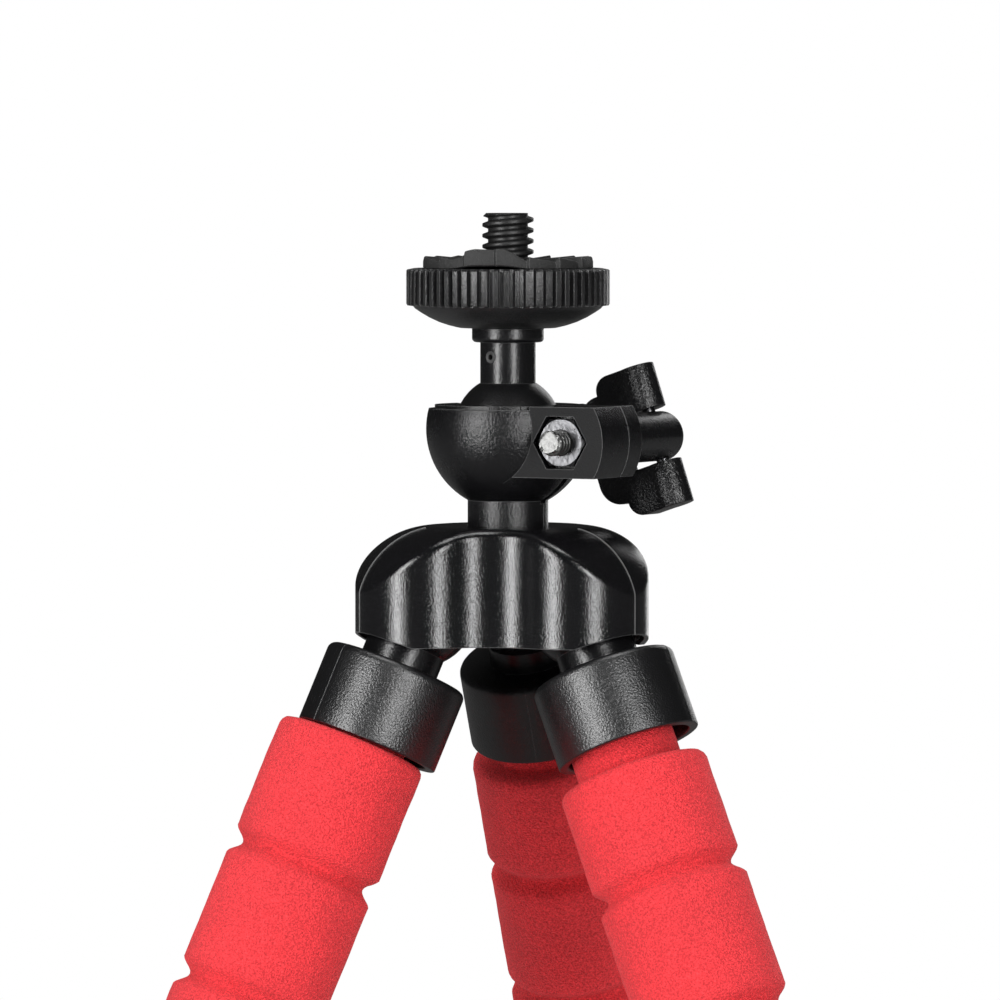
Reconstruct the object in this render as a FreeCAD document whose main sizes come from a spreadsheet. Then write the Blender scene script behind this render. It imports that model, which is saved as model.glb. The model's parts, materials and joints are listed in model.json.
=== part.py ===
import FreeCAD, Part
import math
import os
import Sketcher

# Mini tripod: a ball head with a 1/4-20 camera screw on a three lobed hub, and three bendable foam legs.
# The origin is on the camera screw's axis at the camera seat, the top of the rubber pad. +Z is up and +Y is
# over the back leg. Sizes are in millimetres and degrees.

SIZES = {
    # clearances
    "running": 0.05,
    "press_gap": 0.03,
    # camera screw, 1/4-20
    "screw_radius": 3.175,
    "screw_crest_drop": 0.16,
    "screw_thread_depth": 0.7,
    "screw_pitch": 1.27,
    "screw_above_seat": 5.55,
    "screw_band": 0.5,
    "screw_waist": 2.95,
    "screw_tip_chamfer": 0.45,
    "shank_radius": 2.0,
    "shank_length": 4.5,
    # lock wheel and its rubber pad
    "pad_thickness": 1.0,
    "pad_radius": 10.2,
    "pad_bore": 4.1,
    "wheel_radius": 12.1,
    "wheel_band": 4.5,
    "wheel_shoulder": 10.9,
    "wheel_shoulder_drop": 0.5,
    "wheel_bowl": 1.9,
    "wheel_foot": 6.0,
    "wheel_foot_drop": 0.2,
    "knurl_count": 60,
    "knurl_depth": 0.5,
    "knurl_groove": 0.62,
    # stem, its cross pin and the ball
    "collar_radius": 4.28,
    "collar_height": 1.65,
    "collar_round": 0.5,
    "stem_radius": 3.3,
    "stem_length": 4.9,
    "spigot_radius": 2.4,
    "spigot_length": 5.9,
    "ball_radius": 6.4,
    "ball_flat": 5.4,
    "stem_pin_radius": 0.65,
    "stem_pin_bore": 0.35,
    "stem_pin_rise": 3.16,
    "stem_pin_azimuth": 238.5,
    # split ball socket
    "socket_radius": 9.75,
    "socket_rim": 2.9,
    "rim_step_width": 0.6,
    "rim_step_height": 0.45,
    "socket_gap": 0.05,
    "neck_radius": 4.8,
    "ball_to_hub": 11.5,
    "neck_depth": 2.5,
    "flange_radius": 6.0,
    "flange_height": 2.0,
    "parting": 0.12,
    "ear_azimuth": -20.0,
    "ear_start": 2.0,
    "ear_reach": 16.2,
    "ear_front": 6.9,
    "ear_back": 3.3,
    "ear_height": 8.4,
    "ear_end_radius": 7.8,
    "relief_width": 1.4,
    "relief_rise": 0.9,
    "knob_seat_gap": 0.4,
    "notch_azimuth": 120.0,
    "notch_radius": 3.42,
    # clamp: nut, screw, knob
    "clamp_reach": 10.55,
    "pocket_flats": 6.2,
    "pocket_depth": 2.6,
    "nut_flats": 5.5,
    "nut_thickness": 2.4,
    "clamp_radius": 1.5,
    "clamp_thread_depth": 0.28,
    "clamp_pitch": 0.5,
    "clamp_tip": 2.7,
    "clamp_in_knob": 9.0,
    "barrel_radius": 3.0,
    "barrel_length": 16.6,
    "barrel_round": 0.5,
    "knob_pin_radius": 0.8,
    "knob_pin_inset": 1.8,
    "knob_pin_tilt": 18.5,
    "handle_half_width": 8.75,
    "handle_inner": 3.3,
    "handle_eye_radius": 2.2,
    "handle_arm_length": 5.2,
    "handle_length": 8.3,
    "handle_bow_half": 6.7,
    "handle_bow_thickness": 3.8,
    "handle_arm_round": 1.9,
    "handle_bow_round": 2.8,
    # hub
    "hub_height": 14.0,
    "lobe_centre": 10.7,
    "lobe_radius": 8.2,
    "waist_radius": 7.4,
    "dome_radius": 10.6,
    "hub_edge_round": 1.3,
    "hub_wall": 0.9,
    "base_recess": 0.5,
    "base_screw_radius": 1.0,
    "base_screw_circle": 7.3,
    "base_screw_length": 7.0,
    "base_screw_spare": 1.8,
    "base_slot_width": 0.6,
    "base_head_radius": 1.7,
    "base_head_height": 1.3,
    # legs
    "leg_tilt": 23.75,
    "leg_ball_radius": 6.5,
    "leg_ball_circle": 11.2,
    "leg_ball_drop": 10.15,
    "lobe_cut": 5.1,
    "leg_opening": 5.95,
    "leg_neck_radius": 4.75,
    "leg_neck_end": 7.1,
    "cap_radius": 8.65,
    "cap_length": 10.0,
    "cap_round": 0.8,
    "cap_top": 2.8,
    "cap_wall": 1.2,
    "stud_radius": 3.0,
    "stud_head_radius": 4.2,
    "stud_head": 1.2,
    "wire_radius": 1.5,
    "wire_head": 2.2,
    "wire_head_drop": 4.4,
    "foam_radius": 9.0,
    "foam_clearance": 0.1,
    "foam_neck_radius": 6.3,
    "foam_start": 0.3,
    "back_neck": 2.2,
    "left_neck": 0.2,
    "right_neck": 2.7,
    "back_segment": 14.5,
    "left_segment": 15.9,
    "right_segment": 14.9,
    "last_segment": 16.2,
    "back_shift": 0.0,
    "left_shift": 1.7,
    "right_shift": -0.8,
    "groove_width": 2.4,
    "groove_depth": 1.4,
    "groove_floor": 1.0,
    "bend_limit": 22.0,
    "root_bend_limit": 8.0,
    "bend_spare": 0.6,
    "foot_radius": 9.35,
    "foot_wall": 1.3,
    "foam_length": 182.0,
    "foot_cup": 8.0,
    "foot_lip_gap": 0.3,
    "foot_sole": 3.0,
    "foot_round": 1.6,
    "foot_flat": 0.9,
}

# Each leg: the azimuth of its ball and the azimuth that it leans towards. Its foam's neck and first segment, and
# how far outside the cap's axis its wire stands, are named for it above.
LEGS = {"back": (90.0, 76.0), "left": (210.0, 210.0), "right": (330.0, 330.0)}
STRETCHES = 5
STRETCH_SEGMENTS = 2
TO_NEXT_WAIST = 60.0
FAR = 60.0
PAST = 1.0
THREAD_HALF_WIDTH = 0.44
THREAD_RUN_IN = 0.45
THREAD_RUN_OUT = 0.6

doc = FreeCAD.newDocument("MiniTripod")
sheet = doc.addObject("Spreadsheet::Sheet", "Sizes")
for row, (alias, number) in enumerate(SIZES.items(), start=1):
    sheet.set(f"A{row}", alias)
    sheet.set(f"B{row}", str(number))
    sheet.setAlias(f"B{row}", alias)
doc.recompute()

pieces = []


def size(alias):
    return float(sheet.get(alias))


def total(words):
    """The value of a sum such as 'stem_radius + running'."""
    value = 0.0
    sign = 1.0
    for word in words.split():
        if word in "+-":
            sign = 1.0 if word == "+" else -1.0
        else:
            value += sign * (size(word) if word in SIZES else float(word))
    return value


def formula(words):
    """The same sum as an expression on the sheet's cells."""
    return " ".join(f"Sizes.{word}" if word in SIZES else word for word in words.split())


def bind(thing, **properties):
    for name, words in properties.items():
        thing.setExpression(name, formula(words))
    return thing


def keep(thing, label, placement=None):
    """Takes a finished object as one of the tripod's pieces."""
    thing.Label = label
    if placement is not None:
        thing.Placement = placement
    pieces.append(thing)
    return thing


def at(x=0.0, y=0.0, z=0.0, rotation=None):
    return FreeCAD.Placement(FreeCAD.Vector(x, y, z), rotation or FreeCAD.Rotation())


def turn(axis, degrees):
    return FreeCAD.Rotation(FreeCAD.Vector(*axis), degrees)


X_AXIS = (1, 0, 0)
Y_AXIS = (0, 1, 0)
Z_AXIS = (0, 0, 1)


# Solids from sketches


def new_body(label):
    return doc.addObject("PartDesign::Body", label)


def outline(body, name, points, role="XZ_Plane"):
    """A closed sketch of straight lines through points given as pairs of sums, each bound to the sheet."""
    sketch = body.newObject("Sketcher::SketchObject", name)
    plane = next(f for f in body.Origin.OriginFeatures if f.Role == role)
    sketch.AttachmentSupport = [(plane, "")]
    sketch.MapMode = "FlatFace"
    places = [FreeCAD.Vector(total(across), total(up), 0) for across, up in points]
    count = len(places)
    for i in range(count):
        sketch.addGeometry(Part.LineSegment(places[i], places[(i + 1) % count]))
    for i in range(count):
        sketch.addConstraint(Sketcher.Constraint("Coincident", i, 2, (i + 1) % count, 1))
    for i, (across, up) in enumerate(points):
        for kind, words, axis in (("DistanceX", across, -2), ("DistanceY", up, -1)):
            if words == "0":
                sketch.addConstraint(Sketcher.Constraint("PointOnObject", i, 1, axis))
                continue
            index = sketch.addConstraint(Sketcher.Constraint(kind, i, 1, total(words)))
            sketch.setExpression(f"Constraints[{index}]", formula(words))
    return sketch


def revolve(body, sketch):
    turned = body.newObject("PartDesign::Revolution", sketch.Name + "Turned")
    turned.Profile = sketch
    turned.ReferenceAxis = (sketch, ["V_Axis"])
    turned.Angle = 360.0
    sketch.Visibility = False
    doc.recompute()
    return turned


def turned_body(label, points):
    body = new_body(label)
    revolve(body, outline(body, label + "_outline", points))
    return body


def circle_sketch(body, name, role, centre, radius):
    """A circle whose centre is a pair of sums and whose radius is a sum."""
    sketch = body.newObject("Sketcher::SketchObject", name)
    plane = next(f for f in body.Origin.OriginFeatures if f.Role == role)
    sketch.AttachmentSupport = [(plane, "")]
    sketch.MapMode = "FlatFace"
    middle = FreeCAD.Vector(total(centre[0]), total(centre[1]), 0)
    sketch.addGeometry(Part.Circle(middle, FreeCAD.Vector(0, 0, 1), total(radius)))
    for kind, words, axis in (("DistanceX", centre[0], -2), ("DistanceY", centre[1], -1)):
        if words == "0":
            sketch.addConstraint(Sketcher.Constraint("PointOnObject", 0, 3, axis))
            continue
        index = sketch.addConstraint(Sketcher.Constraint(kind, 0, 3, total(words)))
        sketch.setExpression(f"Constraints[{index}]", formula(words))
    index = sketch.addConstraint(Sketcher.Constraint("Radius", 0, total(radius)))
    sketch.setExpression(f"Constraints[{index}]", formula(radius))
    return sketch


def pocket_both_ways(body, sketch):
    """Cuts a sketch right through the body, to both sides of its plane."""
    before = body.Shape.Volume
    cut = body.newObject("PartDesign::Pocket", sketch.Name + "Cut")
    cut.Profile = sketch
    cut.Type = 1
    cut.Midplane = True
    sketch.Visibility = False
    doc.recompute()
    if body.Shape.Volume >= before:
        raise RuntimeError(f"{sketch.Name} cuts nothing")
    return cut


def round_edges(body, name, radius, chosen, kind="PartDesign::Fillet"):
    """Rounds the edges of the body's tip that the chosen test picks."""
    base = body.Tip
    names = [f"Edge{i}" for i, edge in enumerate(base.Shape.Edges, start=1) if chosen(edge)]
    if not names:
        raise RuntimeError(f"{name} finds no edge")
    rounded = body.newObject(kind, name)
    rounded.Base = (base, names)
    if kind == "PartDesign::Fillet":
        bind(rounded, Radius=radius)
    else:
        bind(rounded, Size=radius)
    doc.recompute()
    return rounded


def ring_edge(radius, height):
    """A test for the circle of this radius at this height about the body's axis."""

    def test(edge):
        curve = edge.Curve
        if not isinstance(curve, Part.Circle):
            return False
        return abs(curve.Radius - radius) < 1e-3 and abs(curve.Center.z - height) < 1e-3

    return test


# Solids from primitives


def rod(name, radius, length, placement):
    return set_place(bind(doc.addObject("Part::Cylinder", name), Radius=radius, Height=length), placement)


def sphere(name, radius, placement):
    return set_place(bind(doc.addObject("Part::Sphere", name), Radius=radius), placement)


def block(name, length, width, height, placement):
    box = bind(doc.addObject("Part::Box", name), Length=length, Width=width, Height=height)
    return set_place(box, placement)


def set_place(thing, placement):
    thing.Placement = placement
    return thing


def fuse(name, parts):
    joined = doc.addObject("Part::MultiFuse", name)
    joined.Shapes = parts
    joined.Refine = True
    return joined


def cut(name, base, tools):
    """The base without the tools."""
    tool = tools[0] if len(tools) == 1 else fuse(name + "_tools", tools)
    result = doc.addObject("Part::Cut", name)
    result.Base = base
    result.Tool = tool
    result.Refine = True
    return result


def common(name, parts):
    shared = doc.addObject("Part::MultiCommon", name)
    shared.Shapes = parts
    return shared


def threaded(label, blank, radius, depth, pitch, low, high):
    """The blank, a solid on the Z axis, with a V thread cut in its side from low to high."""
    half = THREAD_HALF_WIDTH * pitch
    out = 0.1
    widest = half * (1 + out / depth)
    helix = Part.makeHelix(pitch, high - low, radius)
    helix.translate(FreeCAD.Vector(0, 0, low))
    corners = [
        FreeCAD.Vector(radius - depth, 0, low),
        FreeCAD.Vector(radius + out, 0, low + widest),
        FreeCAD.Vector(radius + out, 0, low - widest),
    ]
    profile = Part.makePolygon(corners + corners[:1])
    groove = Part.Wire(helix.Edges).makePipeShell([profile], True, True)
    piece = doc.addObject("Part::Feature", label)
    piece.Shape = blank.cut(groove).removeSplitter()
    return piece


# Levels down the screw's axis, from the seat


wheel_top = -size("pad_thickness")
wheel_height = total("wheel_band + wheel_shoulder_drop + wheel_bowl + wheel_foot_drop")
wheel_bottom = wheel_top - wheel_height
collar_top = wheel_bottom - size("running")
stem_bottom = collar_top - total("collar_height + stem_length")
ball_level = stem_bottom - size("ball_flat")
hub_top = ball_level - size("ball_to_hub")
hub_bottom = hub_top - size("hub_height")
leg_ball_level = hub_top - size("leg_ball_drop")
stem_pin_level = stem_bottom + size("stem_pin_rise")


# Head: camera screw, wheel, pad, stem, ball


def make_camera_screw():
    """A 1/4-20 stud: a plain band at the seat, a waist inside the wheel and a shank pinned in the stem."""
    radius = size("screw_radius")
    crest = total("screw_radius - screw_crest_drop")
    tip = size("screw_above_seat")
    chamfer = size("screw_tip_chamfer")
    waist = size("screw_waist")
    shank = size("shank_radius")
    shank_end = collar_top - size("shank_length")
    corners = [
        (0, shank_end),
        (shank, shank_end),
        (shank, collar_top),
        (waist, collar_top),
        (waist, wheel_top),
        (radius, wheel_top),
        (radius, size("screw_band")),
        (crest, size("screw_band")),
        (crest, tip - chamfer),
        (crest - chamfer, tip),
        (0, tip),
    ]
    face = Part.Face(Part.makePolygon([FreeCAD.Vector(r, 0, z) for r, z in corners + corners[:1]]))
    blank = face.revolve(FreeCAD.Vector(), FreeCAD.Vector(0, 0, 1), 360)
    hole_half = 2 * shank
    hole = Part.makeCylinder(total("stem_pin_radius + press_gap"), 2 * hole_half)
    hole.Placement = across(size("stem_pin_azimuth"), stem_pin_level, hole_half)
    piece = threaded(
        "camera_screw",
        blank.cut(hole),
        crest,
        size("screw_thread_depth"),
        size("screw_pitch"),
        size("screw_band") + THREAD_RUN_IN * size("screw_pitch"),
        tip + THREAD_RUN_OUT * size("screw_pitch"),
    )
    keep(piece, "camera_screw", at())


def across(azimuth, level, half_length):
    """The placement of a rod that crosses the screw's axis at a level, along an azimuth."""
    heading = turn(Z_AXIS, azimuth).multiply(turn(Y_AXIS, 90))
    start = heading.multVec(FreeCAD.Vector(0, 0, -half_length))
    return at(start.x, start.y, level, heading)


def make_lock_wheel():
    """The knurled wheel that jams against the camera: a straight knurled band over a shallow bowl."""
    top = "0 - pad_thickness"
    band_end = top + " - wheel_band"
    shoulder = band_end + " - wheel_shoulder_drop"
    bowl_end = shoulder + " - wheel_bowl"
    bottom = bowl_end + " - wheel_foot_drop"
    body = turned_body(
        "lock_wheel",
        [
            ("screw_radius + running", top),
            ("screw_radius + running", bottom),
            ("wheel_foot - wheel_foot_drop - wheel_foot_drop", bottom),
            ("wheel_foot", bowl_end),
            ("wheel_shoulder", shoulder),
            ("wheel_radius", band_end),
            ("wheel_radius", top),
        ],
    )
    before = body.Shape.Volume
    groove = outline(
        body,
        "knurl_groove_outline",
        [
            ("wheel_radius - knurl_depth", "0 - knurl_groove"),
            ("wheel_radius + knurl_depth", "0 - knurl_groove"),
            ("wheel_radius + knurl_depth", "0"),
            ("wheel_radius - knurl_depth", "0"),
        ],
        "XY_Plane",
    )
    tooth_cut = body.newObject("PartDesign::Pocket", "KnurlGroove")
    tooth_cut.Profile = groove
    tooth_cut.Type = 0
    bind(tooth_cut, Length="pad_thickness + wheel_band")
    groove.Visibility = False
    doc.recompute()
    if body.Shape.Volume >= before:
        raise RuntimeError("the knurl groove cuts nothing")
    knurl = body.newObject("PartDesign::PolarPattern", "Knurl")
    knurl.Originals = [tooth_cut]
    z_axis = next(f for f in body.Origin.OriginFeatures if f.Role == "Z_Axis")
    knurl.Axis = (z_axis, [""])
    knurl.Angle = 360
    knurl.Occurrences = int(size("knurl_count"))
    body.Tip = knurl
    doc.recompute()
    keep(body, "lock_wheel")


def make_wheel_pad():
    body = turned_body(
        "wheel_pad",
        [
            ("pad_bore", "0 - pad_thickness"),
            ("pad_radius", "0 - pad_thickness"),
            ("pad_radius", "0"),
            ("pad_bore", "0"),
        ],
    )
    keep(body, "wheel_pad")


def make_stem():
    """Collar and shaft in one, bored for the screw's shank above and with a spigot for the ball below."""
    top = "0 - pad_thickness - wheel_band - wheel_shoulder_drop - wheel_bowl - wheel_foot_drop - running"
    body = turned_body(
        "stem_blank",
        [
            ("0", top + " - collar_height - stem_length - spigot_length"),
            ("spigot_radius", top + " - collar_height - stem_length - spigot_length"),
            ("spigot_radius", top + " - collar_height - stem_length"),
            ("stem_radius", top + " - collar_height - stem_length"),
            ("stem_radius", top + " - collar_height"),
            ("collar_radius", top + " - collar_height"),
            ("collar_radius", top),
            ("shank_radius + press_gap", top),
            ("shank_radius + press_gap", top + " - shank_length - running"),
            ("0", top + " - shank_length - running"),
        ],
    )
    collar_bottom = collar_top - size("collar_height")
    round_edges(body, "CollarRound", "collar_round", ring_edge(size("collar_radius"), collar_bottom))
    stem = doc.addObject("Part::Cut", "DrilledStem")
    stem.Base = body
    stem.Tool = rod(
        "StemPinHole",
        "stem_pin_radius + press_gap",
        "collar_radius + collar_radius",
        across(size("stem_pin_azimuth"), stem_pin_level, size("collar_radius")),
    )
    keep(stem, "head_stem")
    half = size("stem_radius")
    place = across(size("stem_pin_azimuth"), stem_pin_level, half)
    outer = rod("StemPinOutside", "stem_pin_radius", "stem_radius + stem_radius", place)
    inner = rod("StemPinInside", "stem_pin_bore", "stem_radius + stem_radius", place)
    keep(cut("StemPin", outer, [inner]), "stem_pin")


def make_ball():
    ball = sphere("BallSphere", "ball_radius", at(z=ball_level))
    flat = rod("BallFlat", "ball_radius", "ball_radius", at(z=ball_level + size("ball_flat")))
    depth = total("spigot_length + running")
    bore = rod(
        "BallBore",
        "spigot_radius + press_gap",
        "spigot_length + running + ball_radius",
        at(z=stem_bottom - depth),
    )
    keep(cut("Ball", ball, [flat, bore]), "ball")


# Ball socket: two half shells, clamped together at the ears and held at the neck by the hub


clamp_frame = at(z=ball_level, rotation=turn(Z_AXIS, size("ear_azimuth")))
ear_middle = size("socket_rim") - 0.5 * size("ear_height")
clamp_along_y = turn(X_AXIS, -90)


def in_clamp(x=0.0, y=0.0, z=0.0, rotation=None):
    """A placement in the clamp's frame: X out along the ears, Y to the knob, from the ball's centre."""
    return clamp_frame.multiply(at(x, y, z, rotation))


def make_socket():
    reach = size("ear_reach")
    bottom = -total("ball_to_hub + neck_depth + flange_height")
    shell = sphere("SocketSphere", "socket_radius", at(z=ball_level))
    rim_top = block(
        "AboveRim",
        "socket_radius + socket_radius",
        "socket_radius + socket_radius",
        "socket_radius",
        at(-size("socket_radius"), -size("socket_radius"), ball_level + size("socket_rim")),
    )
    bowl = cut("SocketBowl", shell, [rim_top])
    neck = rod(
        "SocketNeck",
        "neck_radius",
        "ball_to_hub + neck_depth - ball_radius",
        at(z=ball_level - total("ball_to_hub + neck_depth")),
    )
    flange = rod("SocketFlange", "flange_radius", "flange_height", at(z=ball_level + bottom))
    ears = block(
        "EarBlock",
        "ear_reach",
        "ear_front + ear_back",
        "ear_height",
        in_clamp(size("ear_start"), -size("ear_front"), ear_middle - 0.5 * size("ear_height")),
    )
    ear_round = rod(
        "EarRound",
        "ear_end_radius",
        "ear_front + ear_back",
        in_clamp(reach - size("ear_end_radius"), -size("ear_front"), ear_middle, clamp_along_y),
    )
    whole = fuse("SocketWhole", [bowl, neck, flange, common("Ears", [ears, ear_round])])
    rim_radius = math.sqrt(size("socket_radius") ** 2 - size("socket_rim") ** 2)
    step_outer = Part.makeCylinder(2 * size("socket_radius"), 2 * size("rim_step_height"))
    step_inner = Part.makeCylinder(rim_radius - size("rim_step_width"), 2 * size("rim_step_height"))
    step = doc.addObject("Part::Feature", "RimStep")
    ring = step_outer.cut(step_inner)
    over_ears = Part.makeBox(FAR, FAR, FAR)
    over_ears.Placement = in_clamp(size("neck_radius") + size("notch_radius") * 0.5, -FAR / 2, -FAR / 2)
    ring.Placement = at(z=ball_level + size("socket_rim") - size("rim_step_height"))
    step.Shape = ring.cut(over_ears)
    cavity = sphere("SocketCavity", "ball_radius + socket_gap", at(z=ball_level))
    notch_frame = at(z=ball_level, rotation=turn(Z_AXIS, size("notch_azimuth")))
    notch_rod = rod(
        "NotchRound",
        "notch_radius",
        "socket_radius + socket_radius",
        notch_frame.multiply(at(rotation=turn(Y_AXIS, 90))),
    )
    notch_slot = block(
        "NotchSlot",
        "socket_radius + socket_radius",
        "notch_radius + notch_radius",
        "socket_radius",
        notch_frame.multiply(at(0, -size("notch_radius"), 0)),
    )
    relief = block(
        "Relief",
        "socket_radius",
        "relief_width",
        "socket_radius - ear_height + socket_rim",
        in_clamp(
            0.5 * size("ball_radius"),
            -0.5 * size("relief_width"),
            -size("socket_radius") + size("relief_rise"),
        ),
    )
    screw_hole = rod(
        "ClampHole",
        "clamp_radius + press_gap + press_gap + running",
        "ear_front + ear_back",
        in_clamp(size("clamp_reach"), -size("ear_front"), ear_middle, clamp_along_y),
    )
    knob_seat = rod(
        "KnobSeat",
        "barrel_radius + knob_seat_gap",
        "socket_radius",
        in_clamp(size("clamp_reach"), size("ear_back"), ear_middle, clamp_along_y),
    )
    pocket = doc.addObject("Part::Prism", "NutPocket")
    pocket.Polygon = 6
    pocket.setExpression("Circumradius", "Sizes.pocket_flats / 2 / cos(30)")
    pocket.setExpression("Height", "Sizes.pocket_depth * 2")
    set_place(
        pocket,
        in_clamp(
            size("clamp_reach"),
            -total("ear_front + pocket_depth"),
            ear_middle,
            clamp_along_y,
        ),
    )
    hollow = cut(
        "SocketHollow",
        whole,
        [cavity, step, notch_rod, notch_slot, relief, screw_hole, knob_seat, pocket],
    )
    halves = {
        "socket_half_front": -FAR - 0.5 * size("parting"),
        "socket_half_rear": 0.5 * size("parting"),
    }
    for label, start in halves.items():
        region = doc.addObject("Part::Box", label + "_side")
        region.Length = 2 * FAR
        region.Width = FAR
        region.Height = 2 * FAR
        set_place(region, in_clamp(-FAR, start, -FAR))
        keep(common(label, [hollow, region]), label)


# Clamp: nut in the front ear, screw through both ears, knob behind the rear ear


def make_clamp_nut():
    prism = doc.addObject("Part::Prism", "NutPrism")
    prism.Polygon = 6
    prism.setExpression("Circumradius", "Sizes.nut_flats / 2 / cos(30)")
    bind(prism, Height="nut_thickness")
    start = -size("ear_front") + size("pocket_depth") - size("nut_thickness")
    place = in_clamp(size("clamp_reach"), start, ear_middle, clamp_along_y)
    set_place(prism, place)
    chamfer = doc.addObject("Part::Cone", "NutChamfer")
    chamfer.setExpression("Radius1", "Sizes.nut_flats / 2")
    chamfer.setExpression("Radius2", "Sizes.nut_flats / 2 + Sizes.nut_thickness * tan(60)")
    bind(chamfer, Height="nut_thickness")
    set_place(chamfer, place)
    bore = rod("NutBore", "clamp_radius + running", "nut_thickness", place)
    keep(cut("ClampNut", common("NutBlank", [prism, chamfer]), [bore]), "clamp_nut")


def make_clamp_screw():
    """The M3 screw is fixed in the knob's barrel and its threaded tip stands out of the nut."""
    radius = size("clamp_radius")
    tip = size("ear_front") - size("pocket_depth") + size("nut_thickness") + size("clamp_tip")
    end = total("ear_back + running + clamp_in_knob")
    chamfer = size("clamp_thread_depth")
    corners = [(0, -tip), (radius - chamfer, -tip), (radius, chamfer - tip), (radius, end), (0, end)]
    face = Part.Face(Part.makePolygon([FreeCAD.Vector(r, 0, z) for r, z in corners + corners[:1]]))
    blank = face.revolve(FreeCAD.Vector(), FreeCAD.Vector(0, 0, 1), 360)
    threads = total("clamp_tip + nut_thickness")
    piece = threaded(
        "clamp_screw",
        blank,
        radius,
        size("clamp_thread_depth"),
        size("clamp_pitch"),
        chamfer - tip,
        -tip + threads,
    )
    keep(piece, "clamp_screw", in_clamp(size("clamp_reach"), 0, ear_middle, clamp_along_y))


knob_pin_at = total("ear_back + running + barrel_length - knob_pin_inset")
pin_heading = turn(Y_AXIS, -size("knob_pin_tilt")).multiply(turn(Z_AXIS, 180))


def make_knob():
    """Barrel moulded on the screw's end, a steel cross pin near its far end, and a folding D handle."""
    barrel_start = total("ear_back + running")
    place = in_clamp(size("clamp_reach"), barrel_start, ear_middle, clamp_along_y)
    solid = rod("BarrelRod", "barrel_radius", "barrel_length", place)
    solid_round = doc.addObject("Part::Fillet", "BarrelRounded")
    solid_round.Base = solid
    doc.recompute()
    far = place.multVec(FreeCAD.Vector(0, 0, size("barrel_length")))
    amount = size("barrel_round")
    solid_round.Edges = [
        (i, amount, amount)
        for i, edge in enumerate(solid.Shape.Edges, start=1)
        if isinstance(edge.Curve, Part.Circle) and edge.Curve.Center.distanceToPoint(far) < 1e-3
    ]
    screw_bore = rod(
        "BarrelBore",
        "clamp_radius + press_gap",
        "clamp_in_knob + running",
        place,
    )
    pivot = in_clamp(size("clamp_reach"), knob_pin_at, ear_middle, pin_heading)
    reach = size("handle_half_width")
    along_pin = pivot.multiply(at(z=-reach))
    pin_hole = rod(
        "BarrelPinHole",
        "knob_pin_radius + press_gap",
        "handle_half_width + handle_half_width",
        along_pin,
    )
    keep(cut("KnobBarrel", solid_round, [screw_bore, pin_hole]), "knob_barrel")
    pin = rod("KnobPin", "knob_pin_radius", "handle_half_width + handle_half_width", along_pin)
    keep(pin, "knob_pin")
    make_handle(pivot)


def make_handle(pivot):
    """Two eyes on the pin, arms that end in rounded shoulders, and a narrower bow across their ends."""
    body = new_body("knob_handle")
    plate = outline(
        body,
        "handle_outline",
        [
            ("0", "0 - handle_half_width"),
            ("handle_arm_length", "0 - handle_half_width"),
            ("handle_arm_length", "0 - handle_bow_half"),
            ("handle_length", "0 - handle_bow_half"),
            ("handle_length", "handle_bow_half"),
            ("handle_arm_length", "handle_bow_half"),
            ("handle_arm_length", "handle_half_width"),
            ("0", "handle_half_width"),
        ],
    )
    pad = body.newObject("PartDesign::Pad", "HandlePlate")
    pad.Profile = plate
    pad.Midplane = True
    bind(pad, Length="handle_bow_thickness")
    plate.Visibility = False
    doc.recompute()

    def corner(across, up):
        def test(edge):
            middle = edge.CenterOfMass
            upright = edge.BoundBox.YLength > 0.5 * size("handle_bow_thickness")
            return upright and abs(middle.x - across) < 1e-3 and abs(abs(middle.z) - up) < 1e-3

        return test

    arm = size("handle_arm_length")
    round_edges(body, "ShoulderRound", "handle_arm_round", corner(arm, size("handle_half_width")))
    round_edges(
        body, "BowRound", "handle_bow_round", corner(size("handle_length"), size("handle_bow_half"))
    )
    eye = circle_sketch(body, "eye_outline", "XY_Plane", ("0", "0"), "handle_eye_radius")
    eyes = body.newObject("PartDesign::Pad", "Eyes")
    eyes.Profile = eye
    eyes.Midplane = True
    bind(eyes, Length="handle_half_width + handle_half_width")
    eye.Visibility = False
    doc.recompute()
    window = outline(
        body,
        "handle_window",
        [
            ("0 - handle_length", "0 - handle_inner"),
            ("handle_length - handle_bow_thickness", "0 - handle_inner"),
            ("handle_length - handle_bow_thickness", "handle_inner"),
            ("0 - handle_length", "handle_inner"),
        ],
    )
    pocket_both_ways(body, window)
    pin_bore = circle_sketch(body, "pin_bore", "XY_Plane", ("0", "0"), "knob_pin_radius + running")
    pocket_both_ways(body, pin_bore)
    keep(body, "knob_handle", pivot)


# Hub: a three lobed shell over a base plate, which together hold the leg balls and the socket's flange


def waist_centre():
    """How far out the circles lie that draw the hub in between its lobes."""
    turned = math.radians(TO_NEXT_WAIST)
    along = size("lobe_centre") * math.cos(turned)
    aside = size("lobe_centre") * math.sin(turned)
    span = total("lobe_radius + waist_radius")
    return along + math.sqrt(span**2 - aside**2)


def trefoil(wall, low, high):
    """The hub's plan as a solid between two levels, drawn in by a wall."""
    out = waist_centre()
    corners = []
    lobes = []
    waists = []
    for azimuth, lean in LEGS.values():
        lobe = turn(Z_AXIS, azimuth).multVec(FreeCAD.Vector(size("lobe_centre"), 0, 0))
        waist = turn(Z_AXIS, azimuth + TO_NEXT_WAIST).multVec(FreeCAD.Vector(out, 0, 0))
        corners += [lobe, waist]
        lobe.z = waist.z = low
        lobes.append(Part.makeCylinder(size("lobe_radius") - wall, high - low, lobe))
        waists.append(Part.makeCylinder(size("waist_radius") + wall, high - low, waist))
    core = Part.Face(Part.makePolygon(corners + corners[:1])).extrude(FreeCAD.Vector(0, 0, high - low))
    return core.cut(waists).fuse(lobes).removeSplitter()


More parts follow.
